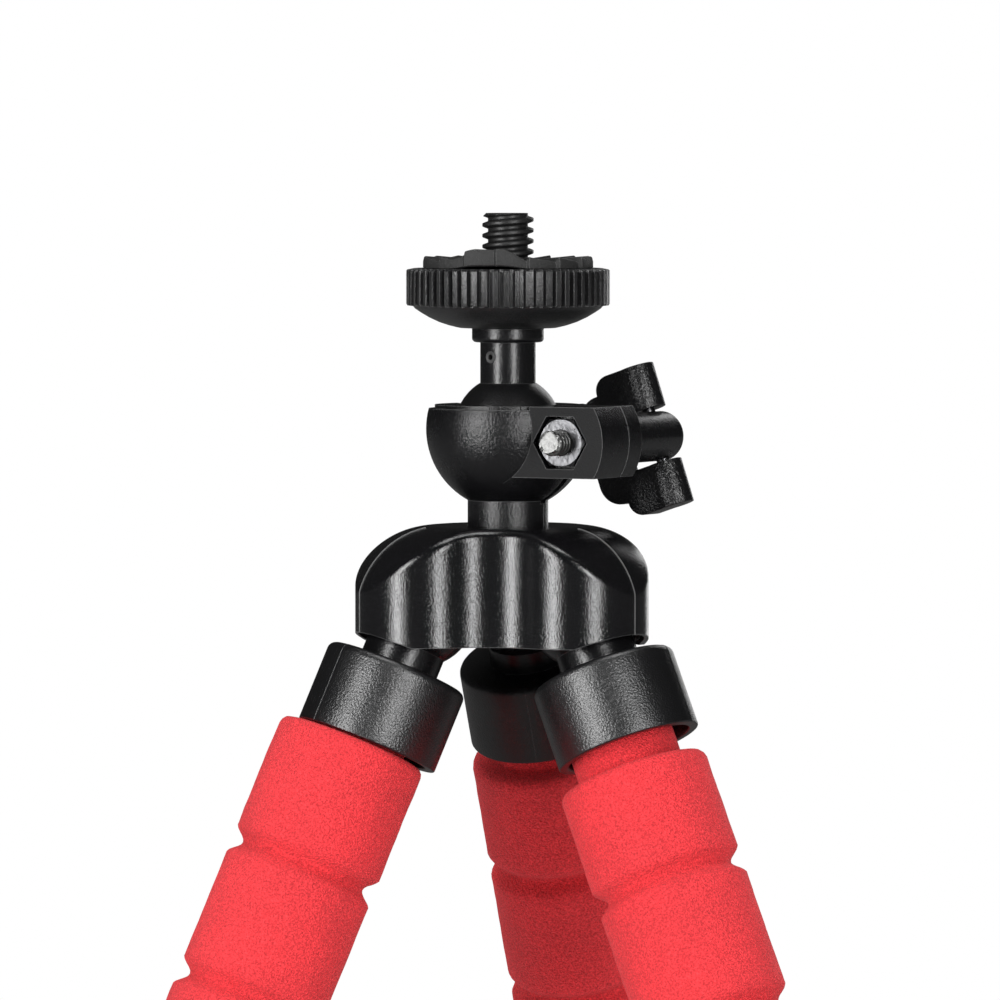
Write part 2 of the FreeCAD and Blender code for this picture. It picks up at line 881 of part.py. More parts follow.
def leg_frame(azimuth, lean):
    """A leg's frame: origin at its ball's centre, +Z up the leg, +X outward."""
    circle = turn(Z_AXIS, azimuth).multVec(FreeCAD.Vector(size("leg_ball_circle"), 0, 0))
    tilt = turn(Z_AXIS, lean).multiply(turn(Y_AXIS, -size("leg_tilt")))
    return at(circle.x, circle.y, leg_ball_level, tilt)


def per_leg(make):
    """One solid for each leg, made in the leg's frame and carried to its place."""
    solids = []
    for azimuth, lean in LEGS.values():
        solid = make()
        solid.Placement = leg_frame(azimuth, azimuth).multiply(solid.Placement)
        solids.append(solid)
    return solids


def screw_posts(radius, low, high):
    """The base plate's three screw places, midway between the legs."""
    posts = []
    for azimuth, lean in LEGS.values():
        place = turn(Z_AXIS, azimuth + TO_NEXT_WAIST).multVec(FreeCAD.Vector(size("base_screw_circle"), 0, 0))
        place.z = low
        posts.append(Part.makeCylinder(radius, high - low, place))
    return posts


def make_hub():
    wall = size("hub_wall")
    fit = size("running")
    ball_seat = total("leg_ball_radius + running")
    dome = Part.makeCylinder(total("lobe_centre + lobe_radius + rim_step_height"), size("hub_height"))
    dome.translate(FreeCAD.Vector(0, 0, hub_bottom))
    rim = [e for e in dome.Edges if isinstance(e.Curve, Part.Circle) and e.Curve.Center.z > leg_ball_level]
    dome = dome.makeFillet(size("dome_radius"), rim)
    outside = trefoil(0.0, hub_bottom, hub_top).common(dome)

    def below_lobes(lift):
        """What lies below the slanting undersides of the lobes, which are square to their legs."""
        slants = []
        for azimuth, lean in LEGS.values():
            slab = Part.makeBox(FAR, FAR, FAR)
            slab.Placement = leg_frame(azimuth, azimuth).multiply(
                at(-FAR / 2, -FAR / 2, lift - FAR - size("lobe_cut"))
            )
            wedge = Part.makeBox(FAR, FAR, FAR)
            wedge.Placement = at(rotation=turn(Z_AXIS, azimuth)).multiply(
                at(size("leg_ball_circle"), -FAR / 2, hub_bottom - FAR / 2)
            )
            slants.append(slab.common(wedge))
        return slants

    def opening():
        bore = Part.makeCylinder(size("leg_opening"), FAR)
        bore.Placement = at(z=-FAR)
        return bore

    outside = outside.cut(below_lobes(0.0))
    edges = [
        e
        for e in outside.Edges
        if e.BoundBox.ZMax > leg_ball_level and e.BoundBox.ZLength > 0.3 * size("hub_height")
        and not isinstance(e.Curve, (Part.Line, Part.LineSegment))
    ]
    outside = outside.makeFillet(size("hub_edge_round"), edges)
    seats = per_leg(lambda: Part.makeSphere(ball_seat))
    openings = per_leg(opening)
    flange_top = hub_top - size("neck_depth")
    flange_bottom = flange_top - size("flange_height")
    pocket = Part.makeCylinder(
        total("flange_radius + running"),
        flange_top + fit - leg_ball_level,
        FreeCAD.Vector(0, 0, leg_ball_level),
    )
    neck_hole = Part.makeCylinder(
        total("neck_radius + running"), size("hub_height"), FreeCAD.Vector(0, 0, flange_bottom)
    )
    cavity = trefoil(wall, hub_bottom - PAST, leg_ball_level)
    thread_top = hub_bottom + total("base_screw_length + base_screw_spare")
    pilot = screw_posts(total("base_screw_radius + running"), leg_ball_level - PAST, thread_top)
    shell = doc.addObject("Part::Feature", "hub_shell")
    shell.Shape = outside.cut([cavity, pocket, neck_hole] + seats + openings + pilot).removeSplitter()
    keep(shell, "hub_shell")

    floor = hub_bottom + size("base_recess")
    plate = trefoil(wall + fit, floor, leg_ball_level - fit)
    boss = Part.makeCylinder(
        size("flange_radius"),
        flange_bottom - fit - leg_ball_level + PAST,
        FreeCAD.Vector(0, 0, leg_ball_level - PAST),
    )
    lifted = below_lobes(size("base_recess"))
    holes = screw_posts(total("base_screw_radius + running"), floor - PAST, thread_top)
    sinks = screw_posts(
        total("base_head_radius + running"), floor - PAST, floor + size("base_head_height") + fit
    )
    base = doc.addObject("Part::Feature", "hub_base")
    base.Shape = plate.fuse(boss).cut(seats + openings + lifted + holes + sinks).removeSplitter()
    keep(base, "hub_base")

    screws = []
    shanks = screw_posts(size("base_screw_radius"), floor, floor + size("base_screw_length"))
    heads = screw_posts(size("base_head_radius"), floor, floor + size("base_head_height"))
    slot_depth = 0.5 * size("base_head_height")
    for shank, head in zip(shanks, heads):
        middle = head.CenterOfMass
        slot = Part.makeBox(2 * size("base_head_radius"), size("base_slot_width"), slot_depth)
        slot.translate(
            FreeCAD.Vector(
                middle.x - size("base_head_radius"), middle.y - 0.5 * size("base_slot_width"), floor
            )
        )
        screws.append(shank.fuse(head).cut(slot).removeSplitter())
    fasteners = doc.addObject("Part::Feature", "hub_screws")
    fasteners.Shape = Part.makeCompound(screws)
    keep(fasteners, "hub_screws")


# Legs


mouth = -total("leg_neck_end + cap_length")
bend_slope = math.tan(math.radians(0.5 * size("bend_limit") + size("bend_spare")))
root_slope = math.tan(math.radians(total("root_bend_limit + bend_spare")))
tip_gap = 0.02


def make_stud(name, frame):
    """Ball, neck and spigot of a leg, in one piece, with a head that keeps the cap on."""
    ball = sphere(name + "_ball", "leg_ball_radius", at())
    neck = rod(
        name + "_neck",
        "leg_neck_radius",
        "leg_neck_end - running",
        at(z=-size("leg_neck_end") + size("running")),
    )
    spigot = rod(
        name + "_spigot",
        "stud_radius",
        "leg_neck_end + cap_top + running",
        at(z=-total("leg_neck_end + cap_top + running")),
    )
    head = rod(
        name + "_head",
        "stud_head_radius",
        "stud_head",
        at(z=-total("leg_neck_end + cap_top + running + stud_head")),
    )
    keep(fuse(name, [ball, neck, spigot, head]), name, frame)


def make_cap(name, frame):
    """A cup, open at the bottom, that turns on the stud's spigot."""
    top = "0 - leg_neck_end"
    bottom = top + " - cap_length"
    body = turned_body(
        name,
        [
            ("stud_radius + running", top),
            ("stud_radius + running", top + " - cap_top"),
            ("cap_radius - cap_wall", top + " - cap_top"),
            ("cap_radius - cap_wall", bottom),
            ("cap_radius", bottom),
            ("cap_radius", top),
        ],
    )
    round_edges(
        body, name + "_round", "cap_round", ring_edge(size("cap_radius"), -size("leg_neck_end"))
    )
    keep(body, name, frame)


def make_wire_root(name, frame, shift):
    """The wire's swaged head, pressed in the cap, and the wire's end down to the cap's mouth."""
    head_bottom = -total("leg_neck_end + wire_head_drop + running + wire_head")
    head = rod(name + "_head", "cap_radius - cap_wall - press_gap", "wire_head", at(z=head_bottom))
    end = rod(
        name + "_end",
        "wire_radius",
        f"cap_length - wire_head_drop - running - {tip_gap}",
        at(x=shift, z=mouth + tip_gap),
    )
    keep(fuse(name, [head, end]), name, frame)


def make_wire(name, frame, start, end):
    """One stretch of the core wire between two bends, with a shallow point at each."""
    radius = size("wire_radius")
    points = [
        ("0", f"0 - leg_neck_end - cap_length - {start + tip_gap:.4f}"),
        ("wire_radius", f"0 - leg_neck_end - cap_length - {start + tip_gap + radius * bend_slope:.4f}"),
        ("wire_radius", f"0 - leg_neck_end - cap_length - {end - tip_gap - radius * bend_slope:.4f}"),
        ("0", f"0 - leg_neck_end - cap_length - {end - tip_gap:.4f}"),
    ]
    keep(turned_body(name, points), name, frame)


def foam_points(start, end, neck, grooves, last):
    """A stretch's outline from its top down the outside and back up its bore, as (radius, depth) pairs."""
    bore = total("wire_radius + foam_clearance")
    full = size("foam_radius")
    floor = full - size("groove_depth")
    half_width = 0.5 * size("groove_width")
    half_floor = 0.5 * size("groove_floor")
    points = []
    if neck is None:
        points += [
            (bore, start + tip_gap + bore * bend_slope),
            (floor, start + tip_gap + floor * bend_slope),
            (full, start + tip_gap + full * bend_slope),
        ]
    else:
        thin = size("foam_neck_radius")
        top = size("foam_start")
        points += [(bore, top + bore * root_slope)]
        if neck > top + full * root_slope:
            points += [
                (thin, top + thin * root_slope),
                (thin, neck - (full - thin) * root_slope),
            ]
        points += [(full, max(neck, top + full * root_slope))]
    for middle in grooves:
        points += [
            (full, middle - half_width),
            (floor, middle - half_floor),
            (floor, middle + half_floor),
            (full, middle + half_width),
        ]
    if last:
        cup = size("foot_radius") - size("foot_wall") - size("foam_clearance")
        points += [
            (full, end - total("foot_cup + foot_lip_gap")),
            (cup, end - total("foot_cup + foot_lip_gap")),
            (cup, end),
            (bore, end),
        ]
    else:
        points += [
            (full, end - tip_gap - full * bend_slope),
            (floor, end - tip_gap - floor * bend_slope),
            (bore, end - tip_gap - bore * bend_slope),
        ]
    return points


def make_foam(name, frame, points):
    """A sleeve of foam over one stretch of the wire, with its ring grooves."""
    words = [
        (f"{radius:.4f}", f"0 - leg_neck_end - cap_length - {depth:.4f}") for radius, depth in points
    ]
    keep(turned_body(name, words), name, frame)


def make_foot(name, frame, end):
    """A rubber cup over the foam's end, with a flat where it stands on the floor."""
    place = f"0 - leg_neck_end - cap_length - {end:.4f}"
    body = turned_body(
        name + "_cup",
        [
            ("foot_radius - foot_wall", place + " + foot_cup"),
            ("foot_radius", place + " + foot_cup"),
            ("foot_radius", place + " - foot_sole"),
            ("0", place + " - foot_sole"),
            ("0", place + " - running"),
            ("foot_radius - foot_wall", place + " - running"),
        ],
    )
    sole = mouth - end - size("foot_sole")
    round_edges(body, name + "_round", "foot_round", ring_edge(size("foot_radius"), sole))
    body.Placement = frame
    doc.recompute()
    lowest = body.Shape.BoundBox.ZMin
    floor = doc.addObject("Part::Box", name + "_floor")
    floor.Length = FAR
    floor.Width = FAR
    floor.Height = FAR
    middle = body.Shape.BoundBox.Center
    floor.Placement = at(middle.x - FAR / 2, middle.y - FAR / 2, lowest + size("foot_flat") - FAR)
    keep(cut(name, body, [floor]), name)


def make_leg(name, azimuth, lean):
    """A leg with evenly spaced ring grooves, whose bends are at the cap's mouth and at every other groove."""
    cap_frame = leg_frame(azimuth, lean)
    make_stud(f"{name}_leg_stud", cap_frame)
    make_cap(f"{name}_leg_cap", cap_frame)
    shift = size(f"{name}_shift")
    make_wire_root(f"{name}_leg_wire_root", cap_frame, shift)
    frame = cap_frame.multiply(at(x=shift))
    neck = size(f"{name}_neck")
    first_groove = neck + size(f"{name}_segment")
    groove_count = STRETCHES * STRETCH_SEGMENTS
    leg_end = size("foam_length") + shift * math.tan(math.radians(size("leg_tilt")))
    pitch = (leg_end - size("last_segment") - first_groove) / (groove_count - 1)
    grooves = [first_groove + pitch * k for k in range(groove_count)]
    bends = [0.0, *grooves[STRETCH_SEGMENTS - 1 : -STRETCH_SEGMENTS : STRETCH_SEGMENTS], leg_end]
    for number in range(1, STRETCHES + 1):
        start, end = bends[number - 1], bends[number]
        inner = [groove for groove in grooves if start < groove < end]
        top = neck if number == 1 else None
        make_wire(f"{name}_leg_wire_{number}", frame, start, end)
        points = foam_points(start, end, top, inner, number == STRETCHES)
        make_foam(f"{name}_leg_foam_{number}", frame, points)
    make_foot(f"{name}_leg_foot", frame, end)


make_camera_screw()
make_lock_wheel()
make_wheel_pad()
make_stem()
make_ball()
make_socket()
make_clamp_nut()
make_clamp_screw()
make_knob()
make_hub()
for leg, (azimuth, lean) in LEGS.items():
    make_leg(leg, azimuth, lean)
doc.recompute()

for thing in doc.Objects:
    if "Invalid" in thing.State or "Error" in thing.State:
        raise RuntimeError(f"{thing.Label} failed: {thing.State}")
for piece in pieces:
    if piece.Shape.isNull() or not piece.Shape.isValid():
        raise RuntimeError(f"{piece.Label} has no valid shape")

os.makedirs("parts", exist_ok=True)
for piece in pieces:
    piece.Shape.exportStep(os.path.join("parts", piece.Label + ".step"))
print(len(pieces), "pieces")
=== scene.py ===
import bmesh
import bpy
import json
import math
from mathutils import Matrix, Vector, noise


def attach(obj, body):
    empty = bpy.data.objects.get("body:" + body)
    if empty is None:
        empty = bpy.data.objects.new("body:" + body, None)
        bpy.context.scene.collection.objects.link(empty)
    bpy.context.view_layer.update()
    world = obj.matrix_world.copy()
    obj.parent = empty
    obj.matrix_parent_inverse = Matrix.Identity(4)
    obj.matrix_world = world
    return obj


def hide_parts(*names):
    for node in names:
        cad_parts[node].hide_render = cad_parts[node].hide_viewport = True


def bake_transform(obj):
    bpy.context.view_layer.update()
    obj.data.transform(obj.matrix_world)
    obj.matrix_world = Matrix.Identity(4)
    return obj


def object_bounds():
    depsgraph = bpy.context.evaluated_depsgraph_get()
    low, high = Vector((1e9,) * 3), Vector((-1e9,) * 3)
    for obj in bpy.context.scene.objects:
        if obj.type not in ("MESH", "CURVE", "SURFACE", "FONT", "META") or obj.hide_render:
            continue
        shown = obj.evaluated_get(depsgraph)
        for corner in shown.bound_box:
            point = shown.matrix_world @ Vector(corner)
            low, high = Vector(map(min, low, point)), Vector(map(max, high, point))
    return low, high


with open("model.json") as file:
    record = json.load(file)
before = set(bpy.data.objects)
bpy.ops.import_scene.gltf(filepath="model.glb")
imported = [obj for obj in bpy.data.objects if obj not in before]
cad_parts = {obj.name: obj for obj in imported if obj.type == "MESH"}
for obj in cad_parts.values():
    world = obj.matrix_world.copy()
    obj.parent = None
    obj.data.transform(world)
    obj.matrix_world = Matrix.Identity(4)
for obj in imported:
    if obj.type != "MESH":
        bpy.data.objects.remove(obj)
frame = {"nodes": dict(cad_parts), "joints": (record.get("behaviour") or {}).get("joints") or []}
cad_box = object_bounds()
nodes = frame["nodes"]
joints = {joint["name"]: joint for joint in frame["joints"]}

# The studio: a pale floor that turns white away from the tripod, in white air. Two upright strip lights beside the
# camera draw the two soft bands on every black round, a small one hangs overhead, and a weak strip stands behind.

floor_clearance = 0.00005
floor_level = cad_box[0][2] - floor_clearance
camera_azimuth = math.radians(8)
camera_rise = math.radians(2.5)
camera_distance = 0.95
pixels_per_metre = 8400
picture_width = 1000 / pixels_per_metre
to_camera = Vector((math.sin(camera_azimuth), -math.cos(camera_azimuth), 0))
to_right = Vector((math.cos(camera_azimuth), math.sin(camera_azimuth), 0))
centre_to_right = -0.00095
centre_height = -0.0286
picture_centre = to_right * centre_to_right + Vector((0, 0, centre_height))


def shader_tree(name):
    """A new material with an empty node tree; returns the material, its nodes and its links."""
    material = bpy.data.materials.new(name)
    material.use_nodes = True
    tree = material.node_tree
    tree.nodes.clear()
    return material, tree.nodes, tree.links


def floor_material(colour, white_near, white_from, white_beyond, mirrored):
    """Paper that the camera sees whiter with distance, and that looks plain and dim in reflections."""
    material, parts, links = shader_tree("floor_paper")
    rays = parts.new("ShaderNodeLightPath")
    place = parts.new("ShaderNodeTexCoord")
    away = parts.new("ShaderNodeVectorMath")
    away.operation = "LENGTH"
    links.new(place.outputs["Object"], away.inputs[0])
    whiter = parts.new("ShaderNodeMapRange")
    whiter.inputs["From Min"].default_value = white_from
    whiter.inputs["From Max"].default_value = white_beyond
    whiter.inputs["To Min"].default_value = white_near
    links.new(away.outputs["Value"], whiter.inputs["Value"])
    white = parts.new("ShaderNodeMath")
    white.operation = "MULTIPLY"
    links.new(rays.outputs["Is Camera Ray"], white.inputs[0])
    links.new(whiter.outputs["Result"], white.inputs[1])
    share = parts.new("ShaderNodeMath")
    share.operation = "MAXIMUM"
    links.new(white.outputs[0], share.inputs[0])
    links.new(rays.outputs["Is Glossy Ray"], share.inputs[1])
    level = parts.new("ShaderNodeMapRange")
    level.inputs["To Min"].default_value = 1.0
    level.inputs["To Max"].default_value = mirrored
    links.new(rays.outputs["Is Glossy Ray"], level.inputs["Value"])
    paper = parts.new("ShaderNodeBsdfDiffuse")
    paper.inputs["Color"].default_value = (*colour, 1)
    light = parts.new("ShaderNodeEmission")
    links.new(level.outputs["Result"], light.inputs["Strength"])
    mix = parts.new("ShaderNodeMixShader")
    links.new(share.outputs[0], mix.inputs[0])
    links.new(paper.outputs[0], mix.inputs[1])
    links.new(light.outputs[0], mix.inputs[2])
    output = parts.new("ShaderNodeOutputMaterial")
    links.new(mix.outputs[0], output.inputs["Surface"])
    return material


floor_half_width = 2.4
shape = bmesh.new()
bmesh.ops.create_grid(shape, x_segments=1, y_segments=1, size=floor_half_width)
bmesh.ops.translate(shape, vec=(0, 0, floor_level), verts=shape.verts)
mesh = bpy.data.meshes.new("floor")
shape.to_mesh(mesh)
shape.free()
floor_paper = floor_material((0.8, 0.8, 0.8), white_near=0.55, white_from=0.45, white_beyond=1.1, mirrored=0.16)
mesh.materials.append(floor_paper)
paper_floor = bpy.data.objects.new("floor", mesh)
bpy.context.scene.collection.objects.link(paper_floor)

air_in_reflections = 0.022
air_on_surfaces = 0.62
world = bpy.data.worlds.new("studio_air")
world.use_nodes = True
bpy.context.scene.world = world
air = world.node_tree
air.nodes.clear()
air_rays = air.nodes.new("ShaderNodeLightPath")
air_level = air.nodes.new("ShaderNodeMapRange")
air_level.inputs["To Min"].default_value = air_in_reflections
air_level.inputs["To Max"].default_value = air_on_surfaces
air.links.new(air_rays.outputs["Is Diffuse Ray"], air_level.inputs["Value"])
air_plain = air.nodes.new("ShaderNodeBackground")
air_plain.inputs["Color"].default_value = (1, 1, 1, 1)
air.links.new(air_level.outputs["Result"], air_plain.inputs["Strength"])
air_seen = air.nodes.new("ShaderNodeBackground")
air_seen.inputs["Color"].default_value = (1, 1, 1, 1)
air_seen.inputs["Strength"].default_value = 1.0
air_mix = air.nodes.new("ShaderNodeMixShader")
air.links.new(air_rays.outputs["Is Camera Ray"], air_mix.inputs[0])
air.links.new(air_plain.outputs[0], air_mix.inputs[1])
air.links.new(air_seen.outputs[0], air_mix.inputs[2])
air_output = air.nodes.new("ShaderNodeOutputWorld")
air.links.new(air_mix.outputs[0], air_output.inputs["Surface"])


lights_aim = Vector((0, 0, -0.06))


def soft_light(name, degrees, rise, distance, width, height, watts):
    """An area light at an angle round the object from the camera, aimed at the hub."""
    turn = math.radians(degrees)
    level = to_camera * math.cos(turn) + to_right * math.sin(turn)
    way = level * math.cos(math.radians(rise)) + Vector((0, 0, math.sin(math.radians(rise))))
    lamp = bpy.data.lights.new(name, "AREA")
    lamp.shape = "RECTANGLE"
    lamp.size = width
    lamp.size_y = height
    lamp.energy = watts
    light = bpy.data.objects.new(name, lamp)
    light.location = lights_aim + way * distance
    light.rotation_euler = way.to_track_quat("Z", "Y").to_euler()
    bpy.context.scene.collection.objects.link(light)


soft_light("left_strip", degrees=-45, rise=6, distance=0.8, width=0.18, height=0.8, watts=6.2)
soft_light("right_strip", degrees=25, rise=6, distance=1.0, width=0.19, height=0.9, watts=7.0)
soft_light("overhead", degrees=20, rise=80, distance=1.0, width=0.4, height=0.4, watts=2.6)
soft_light("rear_strip", degrees=160, rise=12, distance=1.2, width=0.3, height=0.8, watts=1.5)

lens = bpy.data.cameras.new("camera")
lens.sensor_width = 36
lens.lens = lens.sensor_width * camera_distance / picture_width
lens.clip_start = 0.01
camera = bpy.data.objects.new("camera", lens)
line_of_sight = to_camera * math.cos(camera_rise) + Vector((0, 0, math.sin(camera_rise)))
camera.location = picture_centre + line_of_sight * camera_distance
camera.rotation_euler = line_of_sight.to_track_quat("Z", "Y").to_euler()
bpy.context.scene.collection.objects.link(camera)
bpy.context.scene.camera = camera
bpy.context.scene.view_settings.view_transform = "Standard"


# Ball head: injection moulded black nylon with a fine spark-eroded grain. The stem, the ball, the two halves of the
# socket and the knob's barrel keep their solids. Their edges are broken by a small radius in the shading, and
# painted a little lighter there, as a painted highlight along every edge.

gloss_patches = 260
# Painted edge highlight: how far the rounded normal turns from the true one before an edge starts to be painted
# lighter, where it is fully lighter, and how much lighter.
edge_highlight_from = 0.97
edge_highlight_full = 0.8
painted_edge_highlight = 0.13
matt_roughness = 0.85
matt_from = 0.003
matt_play = 0.00004


def moulded_plastic(name, colour, roughness, grain_size, grain, edge, gloss=0.75, dull=None):
    """Black moulding compound with a fine pebble grain, uneven in its gloss, with a painted highlight on its edges.

    It may be matt on a plane at a distance along a direction, off to its right.
    """
    material, parts, links = shader_tree(name)
    place = parts.new("ShaderNodeTexCoord")
    pebbles = parts.new("ShaderNodeTexNoise")
    pebbles.inputs["Scale"].default_value = 1 / grain_size
    pebbles.inputs["Detail"].default_value = 2.0
    pebbles.inputs["Roughness"].default_value = 0.55
    links.new(place.outputs["Object"], pebbles.inputs["Vector"])
    patches = parts.new("ShaderNodeTexNoise")
    patches.inputs["Scale"].default_value = gloss_patches
    patches.inputs["Detail"].default_value = 3.0
    links.new(place.outputs["Object"], patches.inputs["Vector"])
    gloss_range = parts.new("ShaderNodeMapRange")
    gloss_range.inputs["To Min"].default_value = roughness - 0.05
    gloss_range.inputs["To Max"].default_value = roughness + 0.07
    links.new(patches.outputs["Fac"], gloss_range.inputs["Value"])
    tint = parts.new("ShaderNodeMix")
    tint.data_type = "RGBA"
    tint.inputs["A"].default_value = (*[0.75 * c for c in colour], 1)
    tint.inputs["B"].default_value = (*[1.3 * c for c in colour], 1)
    links.new(pebbles.outputs["Fac"], tint.inputs["Factor"])
    edges = parts.new("ShaderNodeBevel")
    edges.samples = 6
    edges.inputs["Radius"].default_value = edge
    facing = parts.new("ShaderNodeNewGeometry")
    rounding = parts.new("ShaderNodeVectorMath")
    rounding.operation = "DOT_PRODUCT"
    links.new(edges.outputs[0], rounding.inputs[0])
    links.new(facing.outputs["Normal"], rounding.inputs[1])
    # Painted highlight on the edges: where the rounded normal turns away from the true one, the base colour is
    # painted lighter, for the light lines that edges catch.
    edge_highlight_mask = parts.new("ShaderNodeMapRange")
    edge_highlight_mask.inputs["From Min"].default_value = edge_highlight_from
    edge_highlight_mask.inputs["From Max"].default_value = edge_highlight_full
    links.new(rounding.outputs["Value"], edge_highlight_mask.inputs["Value"])
    edge_highlight_paint = parts.new("ShaderNodeMix")
    edge_highlight_paint.data_type = "RGBA"
    edge_highlight_paint.inputs["B"].default_value = (*[painted_edge_highlight + c for c in colour], 1)
    links.new(edge_highlight_mask.outputs["Result"], edge_highlight_paint.inputs["Factor"])
    links.new(tint.outputs["Result"], edge_highlight_paint.inputs["A"])
    bump = parts.new("ShaderNodeBump")
    bump.inputs["Strength"].default_value = 1.0
    bump.inputs["Distance"].default_value = grain * grain_size
    links.new(pebbles.outputs["Fac"], bump.inputs["Height"])
    links.new(edges.outputs[0], bump.inputs["Normal"])
    finish = gloss_range
    if dull:
        direction, distance = dull
        masks = []
        for way, operation, level in (
            (direction, "COMPARE", distance),
            (Vector((0, 0, 1)).cross(direction), "GREATER_THAN", matt_from),
        ):
            reach = parts.new("ShaderNodeVectorMath")
            reach.operation = "DOT_PRODUCT"
            reach.inputs[1].default_value = way
            links.new(place.outputs["Object"], reach.inputs[0])
            mask = parts.new("ShaderNodeMath")
            mask.operation = operation
            mask.inputs[1].default_value = level
            mask.inputs[2].default_value = matt_play
            links.new(reach.outputs["Value"], mask.inputs[0])
            masks.append(mask)
        both = parts.new("ShaderNodeMath")
        both.operation = "MULTIPLY"
        links.new(masks[0].outputs[0], both.inputs[0])
        links.new(masks[1].outputs[0], both.inputs[1])
        matt = parts.new("ShaderNodeMix")
        matt.inputs["B"].default_value = matt_roughness
        links.new(both.outputs[0], matt.inputs["Factor"])
        links.new(gloss_range.outputs["Result"], matt.inputs["A"])
        finish = matt
    body = parts.new("ShaderNodeBsdfPrincipled")
    body.inputs["Specular IOR Level"].default_value = gloss
    links.new(edge_highlight_paint.outputs["Result"], body.inputs["Base Color"])
    links.new(finish.outputs["Result"], body.inputs["Roughness"])
    links.new(bump.outputs[0], body.inputs["Normal"])
    output = parts.new("ShaderNodeOutputMaterial")
    links.new(body.outputs[0], output.inputs["Surface"])
    return material


def give(material, *names):
    """Paints CAD nodes."""
    for name in names:
        mesh = nodes[name].data
        mesh.materials.clear()
        mesh.materials.append(material)


nylon_black = (0.004, 0.004, 0.0045)
ear_face_distance = 0.0069
ear_face = (-Vector(joints["clamp_turn"]["axis"]), ear_face_distance)
grained_nylon = moulded_plastic(
    "grained_nylon", nylon_black, roughness=0.3, grain_size=0.00023, grain=0.3, edge=0.00018, gloss=1.1
)
socket_nylon = moulded_plastic(
    "socket_nylon",
    nylon_black,
    roughness=0.25,
    grain_size=0.00023,
    grain=0.34,
    edge=0.00018,
    gloss=0.6,
    dull=ear_face,
)
smooth_nylon = moulded_plastic(
    "smooth_nylon", nylon_black, roughness=0.25, grain_size=0.00024, grain=0.14, edge=0.00016, gloss=0.6
)
give(socket_nylon, "socket_half_front", "socket_half_rear")
give(grained_nylon, "ball")
give(smooth_nylon, "head_stem", "knob_barrel")


# Folding handle: a thick D in black nylon of a coarser, sandy grain. Its two eyes turn on the steel pin across the
# barrel, and all its outer edges are well rounded, so it is a softened copy of its solid.

handle_edge = 0.00045
merge_distance = 2e-6
flat_enough = math.radians(1)
sharp_edge = math.radians(35)


def piece_from(shape, name, material, sharp=38.0):
    """A smooth shaded object from a finished bmesh, with edges over an angle kept sharp."""
    bmesh.ops.recalc_face_normals(shape, faces=shape.faces)
    for edge in shape.edges:
        edge.smooth = not edge.is_manifold or edge.calc_face_angle() < math.radians(sharp)
    for face in shape.faces:
        face.smooth = True
    mesh = bpy.data.meshes.new(name)
    shape.to_mesh(mesh)
    shape.free()
    mesh.materials.append(material)
    piece = bpy.data.objects.new(name, mesh)
    bpy.context.scene.collection.objects.link(piece)
    return piece


def softened_copy(source, width):
    """A merged copy of a CAD node with its sharp edges rounded."""
    shape = bmesh.new()
    shape.from_mesh(nodes[source].data)
    bmesh.ops.remove_doubles(shape, verts=shape.verts, dist=merge_distance)
    bmesh.ops.dissolve_limit(shape, angle_limit=flat_enough, verts=shape.verts, edges=shape.edges)
    sharp = [edge for edge in shape.edges if edge.is_manifold and edge.calc_face_angle() > sharp_edge]
    bmesh.ops.bevel(
        shape,
        geom=sharp,
        offset=width,
        affect="EDGES",
        segments=3,
        profile=0.5,
        material=-1,
        clamp_overlap=True,
    )
    return shape


sandy_nylon = moulded_plastic(
    "sandy_nylon", nylon_black, roughness=0.28, grain_size=0.0003, grain=0.42, edge=0.00018
)
handle = piece_from(softened_copy("knob_handle", handle_edge), "folding_handle", sandy_nylon, sharp=30)
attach(handle, "knob_lever")
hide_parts("knob_handle")


# Metal parts: the stem's tubular pin in steel, and the zinc plated nut, cross pin and base screws, pressed, driven
# or screwed into the plastic. Turned and rolled parts, mottled and finely scratched.

scratches = 1700
scratch_depth = 0.00004
metal_edge = 0.00008


def worn_metal(name, colour, metal, roughness, mottle, bump_strength):
    """Metal whose tint and polish vary with fine scratches."""
    material, parts, links = shader_tree(name)
    place = parts.new("ShaderNodeTexCoord")
    speckle = parts.new("ShaderNodeTexNoise")
    speckle.inputs["Scale"].default_value = scratches
    speckle.inputs["Detail"].default_value = 4.0
    links.new(place.outputs["Object"], speckle.inputs["Vector"])
    tint = parts.new("ShaderNodeMix")
    tint.data_type = "RGBA"
    tint.inputs["A"].default_value = (*[(1 - mottle) * c for c in colour], 1)
    tint.inputs["B"].default_value = (*[(1 + mottle) * c for c in colour], 1)
    links.new(speckle.outputs["Fac"], tint.inputs["Factor"])
    polish = parts.new("ShaderNodeMapRange")
    polish.inputs["To Min"].default_value = roughness - 0.08
    polish.inputs["To Max"].default_value = roughness + 0.12
    links.new(speckle.outputs["Fac"], polish.inputs["Value"])
    edges = parts.new("ShaderNodeBevel")
    edges.samples = 4
    edges.inputs["Radius"].default_value = metal_edge
    bump = parts.new("ShaderNodeBump")
    bump.inputs["Strength"].default_value = bump_strength
    bump.inputs["Distance"].default_value = scratch_depth
    links.new(speckle.outputs["Fac"], bump.inputs["Height"])
    links.new(edges.outputs[0], bump.inputs["Normal"])
    body = parts.new("ShaderNodeBsdfPrincipled")
    body.inputs["Metallic"].default_value = metal
    links.new(tint.outputs["Result"], body.inputs["Base Color"])
    links.new(polish.outputs["Result"], body.inputs["Roughness"])
    links.new(bump.outputs[0], body.inputs["Normal"])
    output = parts.new("ShaderNodeOutputMaterial")
    links.new(body.outputs[0], output.inputs["Surface"])
    return material


